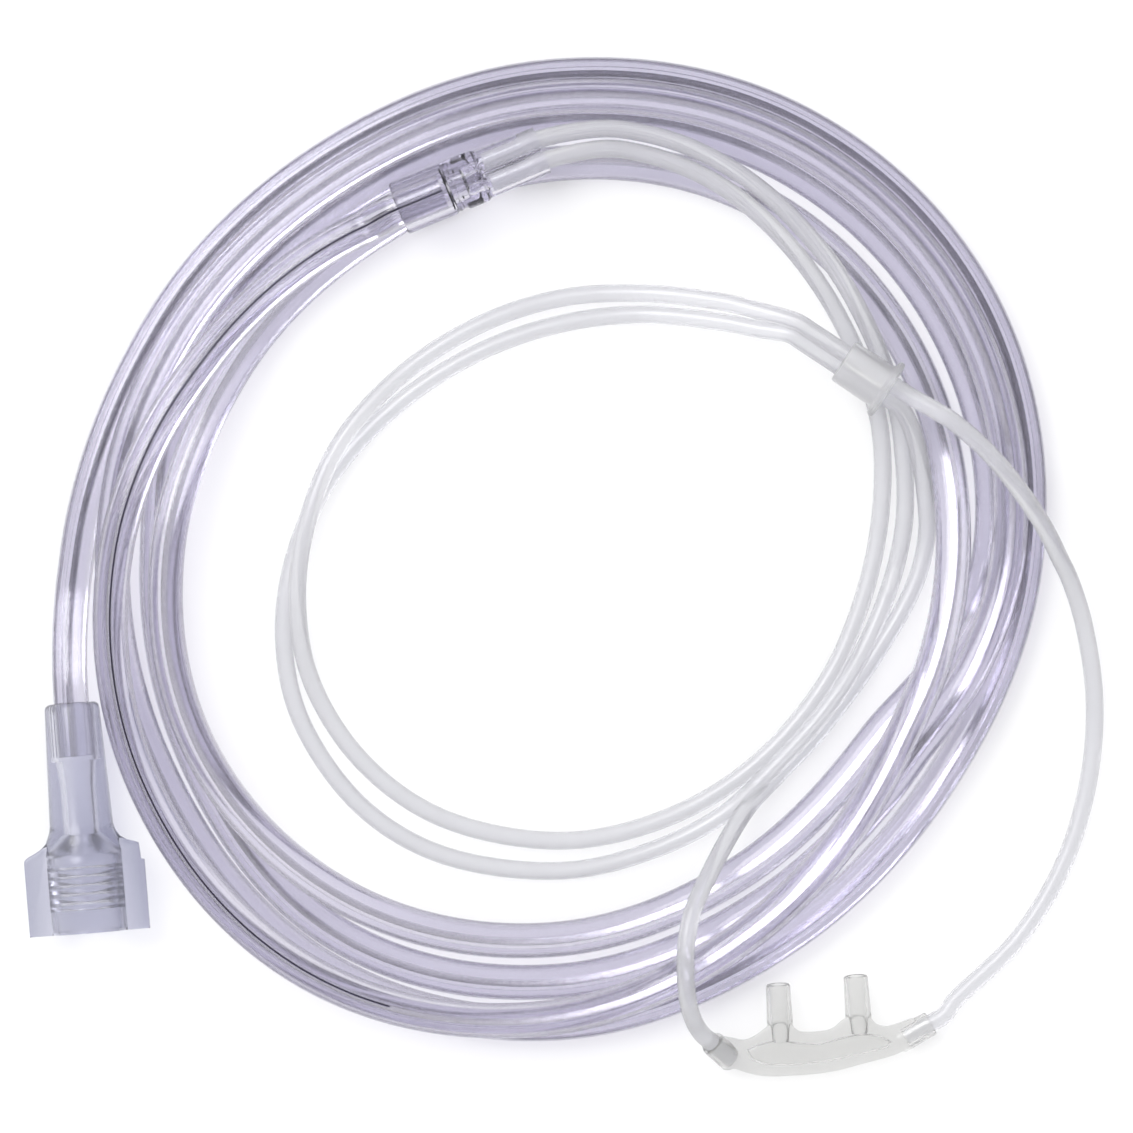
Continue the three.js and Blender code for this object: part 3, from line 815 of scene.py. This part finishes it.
@dataclass
class ThreadedConnector:
    """The soft lavender moulding that goes on the oxygen outlet."""

    cuff_end: tuple[float, float] = (-93.58, -25.94)
    turn: float = 4.65
    length: float = 43.6
    barrel: float = 7.3
    bore: float = 6.1
    bore_depth: float = 15.0
    thread_depth: float = 0.65
    thread_pitch: float = 1.67
    thread_start: float = 4.4
    thread_turns: int = 5
    passage: float = 2.4
    socket: float = 3.34
    socket_depth: float = 11.0
    wing_half: float = 11.4
    wing_thick: float = 3.4
    deep_from: float = 20.0
    deep_over: float = 3.0
    barrel_depth: float = 0.42

    def body(self) -> Shape:
        """The barrel, its shoulder and the cuff."""
        return Shape.turned([
            (0, 0), (self.barrel - 0.4, 0), (self.barrel, 0.5), (self.barrel, 15.2),
            (self.barrel - 0.25, 16.6),
            (7.0, 17.6), (6.55, 18.6), (6.2, 19.6), (6.02, 20.6), (5.6, 32.0), (5.2, self.length - 1.1),
            (5.05, self.length - 0.5), (4.6, self.length - 0.12), (4.2, self.length), (0, self.length),
        ])

    def wings(self) -> Shape:
        """The two flat wings, the right one with its step."""
        half = self.wing_half
        right = [(half, 0.0), (half, 13.1), (half - 0.65, 13.25), (half - 0.8, 15.4), (10.5, 16.35),
                 (9.4, 16.75), (8.2, 17.15), (7.1, 17.9), (6.4, 19.0), (5.8, 20.6)]
        left = [(-5.8, 20.6), (-6.2, 18.9), (-6.9, 17.5), (-7.9, 16.5), (-9.2, 15.75), (-10.6, 15.1),
                (-11.3, 14.5), (-half, 13.7), (-half, 0.0)]
        return Shape.plate(right + left, -self.wing_thick / 2, self.wing_thick / 2, 0.55)

    def hollow(self) -> Shape:
        """The bore with its thread ribs, the cone and the passage up to the tube's socket."""
        rib = self.bore - self.thread_depth
        line = [(0.0, -1.0), (self.bore, -1.0), (self.bore, self.thread_start)]
        for k in range(self.thread_turns):
            at = self.thread_start + k * self.thread_pitch
            line += [(rib + 0.08, at + 0.3 * self.thread_pitch), (rib, at + 0.42 * self.thread_pitch),
                     (rib, at + 0.55 * self.thread_pitch), (rib + 0.08, at + 0.67 * self.thread_pitch),
                     (self.bore, at + 0.97 * self.thread_pitch)]
        seat = self.length - self.socket_depth
        line += [(self.bore, self.bore_depth - 0.6), (self.bore - 0.4, self.bore_depth), (self.passage, 18.2),
                 (self.passage, seat - 4.4), (self.passage + 0.35, seat), (self.socket, seat),
                 (self.socket, self.length + 1.0), (0.0, self.length + 1.0)]
        return Shape.turned(line)

    def shade_nut(self, made: bpy.types.Object, where: Matrix) -> None:
        """Marks painted shade, standing in for light lost through thick vinyl: deepest in the wings, lighter
        in the barrel, none in the cuff.

        Args:
            made: the connector.
            where: its place, in millimetres of the part.
        """
        back = where.inverted()
        thick = made.data.attributes.new("thick", "FLOAT", "POINT")
        for vert, mark in zip(made.data.vertices, thick.data):
            x, y, z = vert.co / MM
            spot = back @ Vector((x - CENTRING[0], y - CENTRING[1], z))
            fade = min(1.0, max(0.0, (self.deep_from - spot.y) / self.deep_over))
            mark.value = fade * (1.0 if abs(spot.x) > self.barrel - 0.05 else self.barrel_depth)

    def build(self) -> Piece:
        """Makes the connector."""
        solid = self.body().combine(self.wings(), "UNION").combine(self.hollow(), "DIFFERENCE")
        turn = math.radians(self.turn)
        x = self.cuff_end[0] + math.sin(turn) * self.length
        y = self.cuff_end[1] - math.cos(turn) * self.length
        where = laid_at(x, y, self.barrel, self.turn + 90.0)
        made = solid.finished("connector", where)
        self.shade_nut(made, where)
        return Piece(made, "lavender_moulding", nodes=("threaded_connector",))


@dataclass
class YPiece:
    """The clear moulding that splits the supply tube into the two headset tubes."""

    start: tuple[float, float] = (-31.7, 67.4)
    turn: float = 22.4
    height: float = 12.4
    length: float = 29.4
    socket: float = 5.15
    socket_length: float = 10.2
    twin: float = 2.65
    twin_offset: float = 2.1

    def build(self) -> Piece:
        """Makes the Y piece: socket, two grooves, a block and two small sockets with a web between."""
        grooves = [(0, 0), (self.socket - 0.35, 0), (self.socket, 0.35), (self.socket, self.socket_length),
                   (self.socket - 0.45, self.socket_length + 0.25),
                   (self.socket - 0.45, self.socket_length + 0.6),
                   (self.socket - 0.05, self.socket_length + 0.9),
                   (self.socket - 0.5, self.socket_length + 1.3),
                   (self.socket - 0.45, 14.8), (self.socket - 1.2, 15.9), (self.socket - 2.4, 16.6),
                   (0, 16.6)]
        solid = Shape.turned(grooves, 80)
        solid.combine(along_y(stadium(10.3, 6.8), 12.6, 16.8), "UNION")
        solid.combine(along_y(stadium(7.6, 2.4), 16.0, self.length - 0.4), "UNION")
        for side in (-1, 1):
            at = Vector((side * self.twin_offset, 16.0, 0.0))
            end = Vector((side * self.twin_offset, self.length, 0.0))
            arm = Shape.bar(at, end, self.twin, self.twin - 0.12)
            solid.combine(arm, "UNION")
        solid.softened(0.2, 5)
        wide = Shape.turned([(0, -1), (3.4, -1), (3.4, self.socket_length - 0.4), (2.5, self.socket_length),
                             (2.3, 13.4), (1.6, 14.0), (0, 14.0)], 64)
        solid.combine(wide, "DIFFERENCE")
        for side in (-1, 1):
            mouth = Vector((side * self.twin_offset, self.length + 1.0, 0.0))
            seat = Vector((side * self.twin_offset, 17.6, 0.0))
            solid.combine(Shape.bar(seat, mouth, 1.72, 1.72, 32), "DIFFERENCE")
            root = Vector((side * 0.9, 12.6, 0.0))
            past = seat + (seat - root).normalized() * 0.6
            solid.combine(Shape.bar(root, past, 0.85, 0.85, 24), "DIFFERENCE")
        made = solid.finished("y_splitter", laid_at(*self.start, self.height, self.turn), smooth_angle=32.0)
        return Piece(made, "clear_moulding", nodes=("y_piece",))


@dataclass
class Slider:
    """The soft sleeve that holds the two headset tubes together."""

    start: tuple[float, float] = (52.4, 38.8)
    turn: float = -33.5
    height: float = 12.0
    length: float = 10.4
    radius: float = 4.25
    collar: float = 5.9
    offset: float = 1.31
    slot: float = 1.9

    def build(self) -> Piece:
        """Makes the slider with its collar and the double passage."""
        back = self.length - 1.5
        solid = Shape.turned([
            (0, 0), (self.radius - 0.5, 0), (self.radius - 0.1, 0.2), (self.radius + 0.05, 0.7),
            (self.radius + 0.15, back - 0.5), (self.radius + 0.5, back), (self.collar - 0.35, back + 0.15),
            (self.collar, back + 0.5), (self.collar, self.length - 0.45),
            (self.collar - 0.3, self.length - 0.08), (self.collar - 0.8, self.length), (0, self.length),
        ], 80)
        for side in (-1, 1):
            at = Vector((-side * self.offset, -1.0, side * self.offset))
            tunnel = Shape.bar(at, at + Vector((0.0, self.length + 2.0, 0.0)), self.slot, self.slot, 40)
            solid.combine(tunnel, "DIFFERENCE")
        made = solid.finished("slider_sleeve", laid_at(*self.start, self.height, self.turn))
        return Piece(made, "soft_moulding", body="slider", nodes=("slider",))


@dataclass
class Facepiece:
    """The curved bar with two prongs that sits under the nose."""

    thick: float = 5.0
    grain: float = 0.22
    softness: int = 14
    upper: tuple[tuple[float, float], ...] = (
        (29.2, -89.0), (31.4, -89.4), (33.9, -89.8), (36.2, -88.8), (38.3, -87.2), (40.6, -86.6),
        (42.8, -87.0),
        (43.9, -88.1), (46.2, -88.3), (50.4, -87.7), (52.8, -85.8), (55.2, -85.3), (57.6, -85.6),
        (58.9, -86.9), (60.6, -87.2), (62.5, -86.8), (65.8, -85.6))
    lower: tuple[tuple[float, float], ...] = (
        (68.6, -89.4), (63.3, -92.2), (60.8, -93.1), (57.0, -94.1), (50.4, -95.8), (42.4, -96.6),
        (37.1, -96.6), (33.0, -95.6), (29.7, -94.0), (27.6, -92.4))
    channel: tuple[tuple[float, float], ...] = (
        (34.2, -91.6), (36.5, -90.6), (40.0, -89.7), (44.0, -90.3), (48.0, -90.5), (52.0, -89.4),
        (56.0, -88.4),
        (59.5, -89.0), (61.8, -90.0), (61.0, -91.2), (57.0, -92.3), (50.0, -93.8), (43.0, -94.7),
        (38.0, -94.6), (35.2, -93.6))
    prongs: tuple[tuple[tuple[float, float, float], tuple[float, float, float]], ...] = (
        ((40.7, -89.5, 2.8), (40.15, -79.2, 4.2)), ((55.6, -88.0, 2.8), (54.85, -77.6, 4.2)))
    arms: tuple[tuple[tuple[float, float, float], tuple[float, float, float], float], ...] = (
        ((27.6, -90.2, 6.6), (-0.6, 0.52, 0.61), 6.5), ((69.2, -86.6, 2.9), (0.87, 0.49, 0.04), 7.0))

    def outline(self) -> list[tuple[float, float]]:
        """The bar's outline, smooth between its points."""
        rim: list[tuple[float, float]] = []
        for side in (self.upper, self.lower):
            line = smooth_route([(x, y, 0.0) for x, y in side], 0.9)
            rim += [(p.x / MM - CENTRING[0], p.y / MM - CENTRING[1]) for p in line]
        return rim

    def build(self) -> Piece:
        """Makes the bar, its arms and its hollow prongs, with soft fillets where they meet."""
        solid = Shape.plate(self.outline(), 0.15, self.thick - 0.15, 0.0)
        for face, out, length in self.arms:
            end = Vector(face)
            solid.combine(Shape.bar(end - Vector(out) * length, end, 2.55, 2.35), "UNION")
        for root, tip in self.prongs:
            solid.combine(Shape.bar(Vector(root), Vector(tip), 2.55, 2.3), "UNION")
        solid.softened(self.grain, self.softness)
        solid.combine(Shape.plate(list(self.channel), 1.4, 3.6, 0.7), "DIFFERENCE")
        for face, out, _ in self.arms:
            end, outward = Vector(face), Vector(out).normalized()
            tunnel = Shape.bar(end - outward * 5.8, end + outward, 1.73, 1.73, 40)
            solid.combine(tunnel, "DIFFERENCE")
        for root, tip in self.prongs:
            end = Vector(tip)
            inward = (Vector(root) - end).normalized()
            solid.combine(Shape.bar(end - inward, end + inward * 11.0, 1.65, 1.5, 40), "DIFFERENCE")
        made = solid.finished("nasal_prongs", Matrix.Identity(4), smooth_angle=40.0)
        return Piece(made, "soft_moulding", nodes=("facepiece",))


@dataclass
class SupplyTube:
    """The clear supply tube, from inside the connector, round the coil and into the Y piece."""

    section: TubeSection = TubeSection(outer=3.35, lumen_outer=2.3, lumen_inner=1.5, sides=24, lobes=5)
    socket_depth: float = 10.6
    ring_step: float = 1.3

    def build(self) -> tuple[Piece, list[Vector]]:
        """Makes the tube.

        Returns:
            The piece and its middle line.
        """
        coil = CoilRoute().points()
        lean = math.radians(ThreadedConnector.turn)
        down = Vector((math.sin(lean), -math.cos(lean), 0.0))
        start = Vector((-93.62, -25.5, coil[0][2]))
        inside = [tuple(start + down * s) for s in (self.socket_depth, 8.0, 5.5, 3.0, 0.6)]
        turn = math.radians(YPiece.turn)
        into = Vector((math.cos(turn), math.sin(turn), 0.0))
        mouth = Vector((*YPiece.start, YPiece.height))
        ends = [tuple(mouth + into * s) for s in (-1.0, 2.0, 5.5, 9.0)]
        route = smooth_route([*inside, *coil[2:-2:2], *ends], self.ring_step)
        made = Tube("supply_tube", self.section, route).build()
        return Piece(made, "clear_tube", nodes=("supply_tube_lead", "supply_coil", "supply_tube_tail")), route


@dataclass
class HeadsetTube:
    """One of the two thin milky tubes that run from the Y piece to the facepiece."""

    name: str
    node: str
    y_side: int
    slider_side: int
    loops: list[tuple[float, float, float]]
    run: list[tuple[float, float, float]]
    arm: int
    section: TubeSection = TubeSection(outer=1.7, lumen_outer=1.0, lumen_inner=1.0, sides=28)
    ring_step: float = 1.1

    def through_slider(self) -> list[tuple[float, float, float]]:
        """The straight stretch in and beside the slider."""
        turn = math.radians(Slider.turn)
        along, across = (math.cos(turn), math.sin(turn)), (-math.sin(turn), math.cos(turn))
        off = self.slider_side * Slider.offset
        return [
            (Slider.start[0] + along[0] * s + across[0] * off,
             Slider.start[1] + along[1] * s + across[1] * off,
             Slider.height + off)
            for s in (-11.0, -9.0, -3.0, 4.0, 11.4, 13.4)
        ]

    def build(self) -> tuple[Piece, list[Vector]]:
        """Makes the tube.

        Returns:
            The piece and its middle line.
        """
        turn = math.radians(YPiece.turn)
        along = Vector((math.cos(turn), math.sin(turn), 0.0))
        across = Vector((-math.sin(turn), math.cos(turn), 0.0)) * self.y_side * YPiece.twin_offset
        mouth = Vector((*YPiece.start, YPiece.height)) + across
        socket = [tuple(mouth + along * s) for s in (18.2, 21.0, 25.0, 29.7)]
        face, out, _ = Facepiece.arms[self.arm]
        ends = [tuple(Vector(face) + Vector(out) * s) for s in (2.8, 0.3, -2.5, -5.5)]
        route = smooth_route([*socket, *self.loops, *self.through_slider(), *self.run, *ends], self.ring_step)
        made = Tube(self.name, self.section, route).build()
        return Piece(made, "milky_tube", nodes=(self.node,)), route


RIGHT_TUBE = HeadsetTube(
    name="right_tube", node="headset_tube_right", y_side=-1, slider_side=1, arm=1,
    loops=[
        (7.4, 78.9, 10.6), (14.0, 78.1, 9.2), (21.6, 75.8, 8.8), (29.2, 72.0, 8.8), (36.0, 66.9, 8.8),
        (42.0, 60.9, 8.8), (47.3, 54.2, 7.2), (52.1, 46.4, 4.8), (57.3, 35.0, 2.4), (59.8, 23.9, 1.85),
        (59.5, 8.5, 1.85), (56.0, -7.1, 1.85), (49.0, -22.5, 1.85), (35.4, -38.1, 1.85), (18.5, -48.0, 1.85),
        (-1.1, -52.1, 1.85), (-23.9, -47.6, 1.85), (-38.8, -36.9, 1.85), (-48.3, -21.8, 2.0),
        (-50.9, -6.4, 4.9),
        (-48.9, 8.7, 5.7), (-42.5, 23.7, 5.0), (-30.5, 36.8, 2.4), (-15.6, 46.1, 1.85), (-0.9, 50.8, 1.85),
        (14.0, 51.7, 3.4), (28.9, 50.1, 8.4), (36.2, 48.3, 11.4)],
    run=[
        (72.7, 27.5, 15.3), (78.4, 22.7, 15.5), (83.1, 17.6, 15.5), (87.5, 11.7, 15.3), (90.7, 6.6, 13.8),
        (93.2, 1.7, 11.2), (95.5, -3.0, 8.0), (98.2, -11.5, 4.0), (100.2, -25.4, 1.9), (99.1, -40.5, 1.85),
        (94.5, -56.1, 1.85), (85.8, -70.6, 1.9), (73.7, -82.4, 2.6)],
)
LEFT_TUBE = HeadsetTube(
    name="left_tube", node="headset_tube_left", y_side=1, slider_side=-1, arm=0,
    loops=[
        (6.8, 82.7, 10.6), (14.5, 81.9, 9.2), (22.5, 79.6, 8.8), (30.9, 75.4, 8.8), (38.5, 69.9, 8.8),
        (45.1, 63.4, 8.8), (50.9, 56.2, 8.8), (55.5, 48.4, 8.3), (59.1, 40.8, 5.6), (61.9, 33.0, 2.9),
        (63.6, 24.5, 1.9), (64.1, 8.0, 1.85), (59.9, -8.1, 1.85), (51.4, -24.4, 4.6), (37.3, -40.4, 4.4),
        (29.2, -47.5, 2.6), (15.5, -54.2, 1.85), (-1.1, -57.8, 1.85), (-23.9, -54.6, 1.85),
        (-39.0, -45.4, 1.85),
        (-50.3, -29.2, 1.85), (-53.5, -14.0, 1.85), (-51.7, 1.1, 1.85), (-45.0, 16.3, 1.85),
        (-32.7, 30.0, 1.85),
        (-17.0, 40.3, 1.85), (-1.5, 45.8, 1.85), (14.0, 47.7, 2.6), (29.5, 46.2, 6.8), (36.6, 44.8, 8.9)],
    run=[
        (65.2, 26.4, 8.8), (66.9, 20.6, 6.0), (68.1, 13.4, 3.2), (68.4, 6.0, 1.9), (66.3, -3.0, 1.85),
        (58.6, -16.9, 1.85), (47.5, -31.8, 1.85), (40.7, -39.0, 1.9), (34.9, -45.1, 4.0), (30.7, -51.5, 7.8),
        (27.2, -58.0, 11.2), (23.9, -65.3, 14.4), (22.7, -71.5, 15.6), (22.6, -77.8, 15.7),
        (23.2, -83.0, 14.8), (24.3, -86.3, 12.0)],
)

CLEAR = VinylFinish(
    name="clear_vinyl", surface=(0.97, 0.965, 0.985), depth=(0.36, 0.31, 0.58), density=60.0, roughness=0.03,
    clearness=1.0, ior=1.5, shade=(0.988, 0.988, 0.99), bump=0.12, on_tube=True, stripe_from=2.0)
MILKY = VinylFinish(
    name="milky_vinyl", surface=(0.87, 0.87, 0.885), depth=(0.5, 0.5, 0.58), density=60.0, roughness=0.24,
    clearness=0.82, ior=1.45, shade=(0.97, 0.97, 0.975), bump=0.15, on_tube=True)
LAVENDER = VinylFinish(
    name="lavender_vinyl", surface=(0.9, 0.9, 0.95), depth=(0.36, 0.37, 0.52), density=70.0, roughness=0.18,
    clearness=0.92, ior=1.45, shade=(0.95, 0.95, 0.97), bump=0.3, on_tube=False)
CLEAR_MOULDED = VinylFinish(
    name="clear_moulded", surface=(0.95, 0.945, 0.975), depth=(0.5, 0.47, 0.62), density=80.0, roughness=0.07,
    clearness=1.0, ior=1.43, shade=(0.97, 0.97, 0.98), bump=0.2, on_tube=False)
SOFT = VinylFinish(
    name="soft_moulded", surface=(0.89, 0.89, 0.885), depth=(0.6, 0.6, 0.59), density=55.0, roughness=0.2,
    clearness=0.9, ior=1.44, shade=(0.96, 0.96, 0.96), bump=0.25, on_tube=False)
SLEEVE = VinylFinish(
    name="sleeve_vinyl", surface=(0.9, 0.9, 0.91), depth=(0.6, 0.6, 0.62), density=70.0, roughness=0.32,
    clearness=0.8, ior=1.4, shade=(0.96, 0.96, 0.965), bump=0.2, on_tube=False)


@dataclass
class Studio:
    """The floor, the soft light and the camera that looks straight down."""

    pixels: int = 1133
    distance: float = 3.0
    focus_height: float = 0.005
    middle: tuple[float, float] = (566.5, 566.5)
    sky_strength: float = 0.82
    lamp_place: tuple[float, float, float] = (-0.9, 0.8, 1.6)
    lamp_size: float = 1.2
    lamp_power: float = 22.0
    bounces: int = 14
    plain_bounces: int = 2

    def floor(self) -> None:
        """Lays the plain pale floor."""
        bm = bmesh.new()
        bmesh.ops.create_grid(bm, x_segments=2, y_segments=2, size=3.0)
        made = to_object(bm, "floor")
        made.data.materials.append(PaperFinish().material())

    def light(self) -> None:
        """Lights the scene with a bright even sky and one wide soft lamp."""
        world = bpy.data.worlds.new("soft_sky")
        world.use_nodes = True
        bpy.context.scene.world = world
        sky = world.node_tree.nodes["Background"]
        sky.inputs["Color"].default_value = (1.0, 1.0, 1.0, 1.0)
        sky.inputs["Strength"].default_value = self.sky_strength
        data = bpy.data.lights.new("soft_lamp", "AREA")
        data.shape = "DISK"
        data.size = self.lamp_size
        data.energy = self.lamp_power
        lamp = bpy.data.objects.new("soft_lamp", data)
        lamp.location = self.lamp_place
        lamp.rotation_euler = (-lamp.location).to_track_quat("-Z", "Y").to_euler()
        bpy.context.scene.collection.objects.link(lamp)

    def camera(self) -> None:
        """Sets the camera at the photograph's angle, straight above."""
        data = bpy.data.cameras.new("camera")
        width = self.pixels / PIXELS_PER_MM * MM
        data.sensor_width = 36.0
        data.lens = 36.0 * self.distance / width
        data.clip_end = 20.0
        made = bpy.data.objects.new("camera", data)
        x = (self.middle[0] - ORIGIN_PIXEL) / PIXELS_PER_MM
        y = (ORIGIN_PIXEL - self.middle[1]) / PIXELS_PER_MM
        spot = place(x, y, 0.0)
        made.location = (spot.x, spot.y, self.focus_height + self.distance)
        bpy.context.scene.collection.objects.link(made)
        bpy.context.scene.camera = made

    def build(self) -> None:
        """Makes the whole stage."""
        self.camera()
        self.floor()
        self.light()
        paths = bpy.context.scene.cycles
        paths.max_bounces = paths.transmission_bounces = self.bounces
        paths.diffuse_bounces = paths.glossy_bounces = self.plain_bounces
        view = bpy.context.scene.view_settings
        view.view_transform = "Standard"
        view.look = "None"


def main() -> None:
    """Builds, dresses and places every piece."""
    logging.basicConfig(level=logging.INFO, format="%(name)s %(message)s")
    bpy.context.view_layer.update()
    Studio().build()
    effects = Effects()
    clear, milky = CLEAR.material(effects), MILKY.material(effects)
    supply, route = SupplyTube().build()
    tube = supply.settle(clear)
    LOG.info("supply tube %.3f m", route_length(route))
    for headset in (RIGHT_TUBE, LEFT_TUBE):
        piece, line = headset.build()
        thin = piece.settle(milky)
        LOG.info("%s %.3f m", headset.name, route_length(line))
    ThreadedConnector().build().settle(LAVENDER.material(effects))
    YPiece().build().settle(CLEAR_MOULDED.material(effects))
    Slider().build().settle(SLEEVE.material(effects))
    Facepiece().build().settle(SOFT.material(effects))


if __name__ == "__main__":
    main()
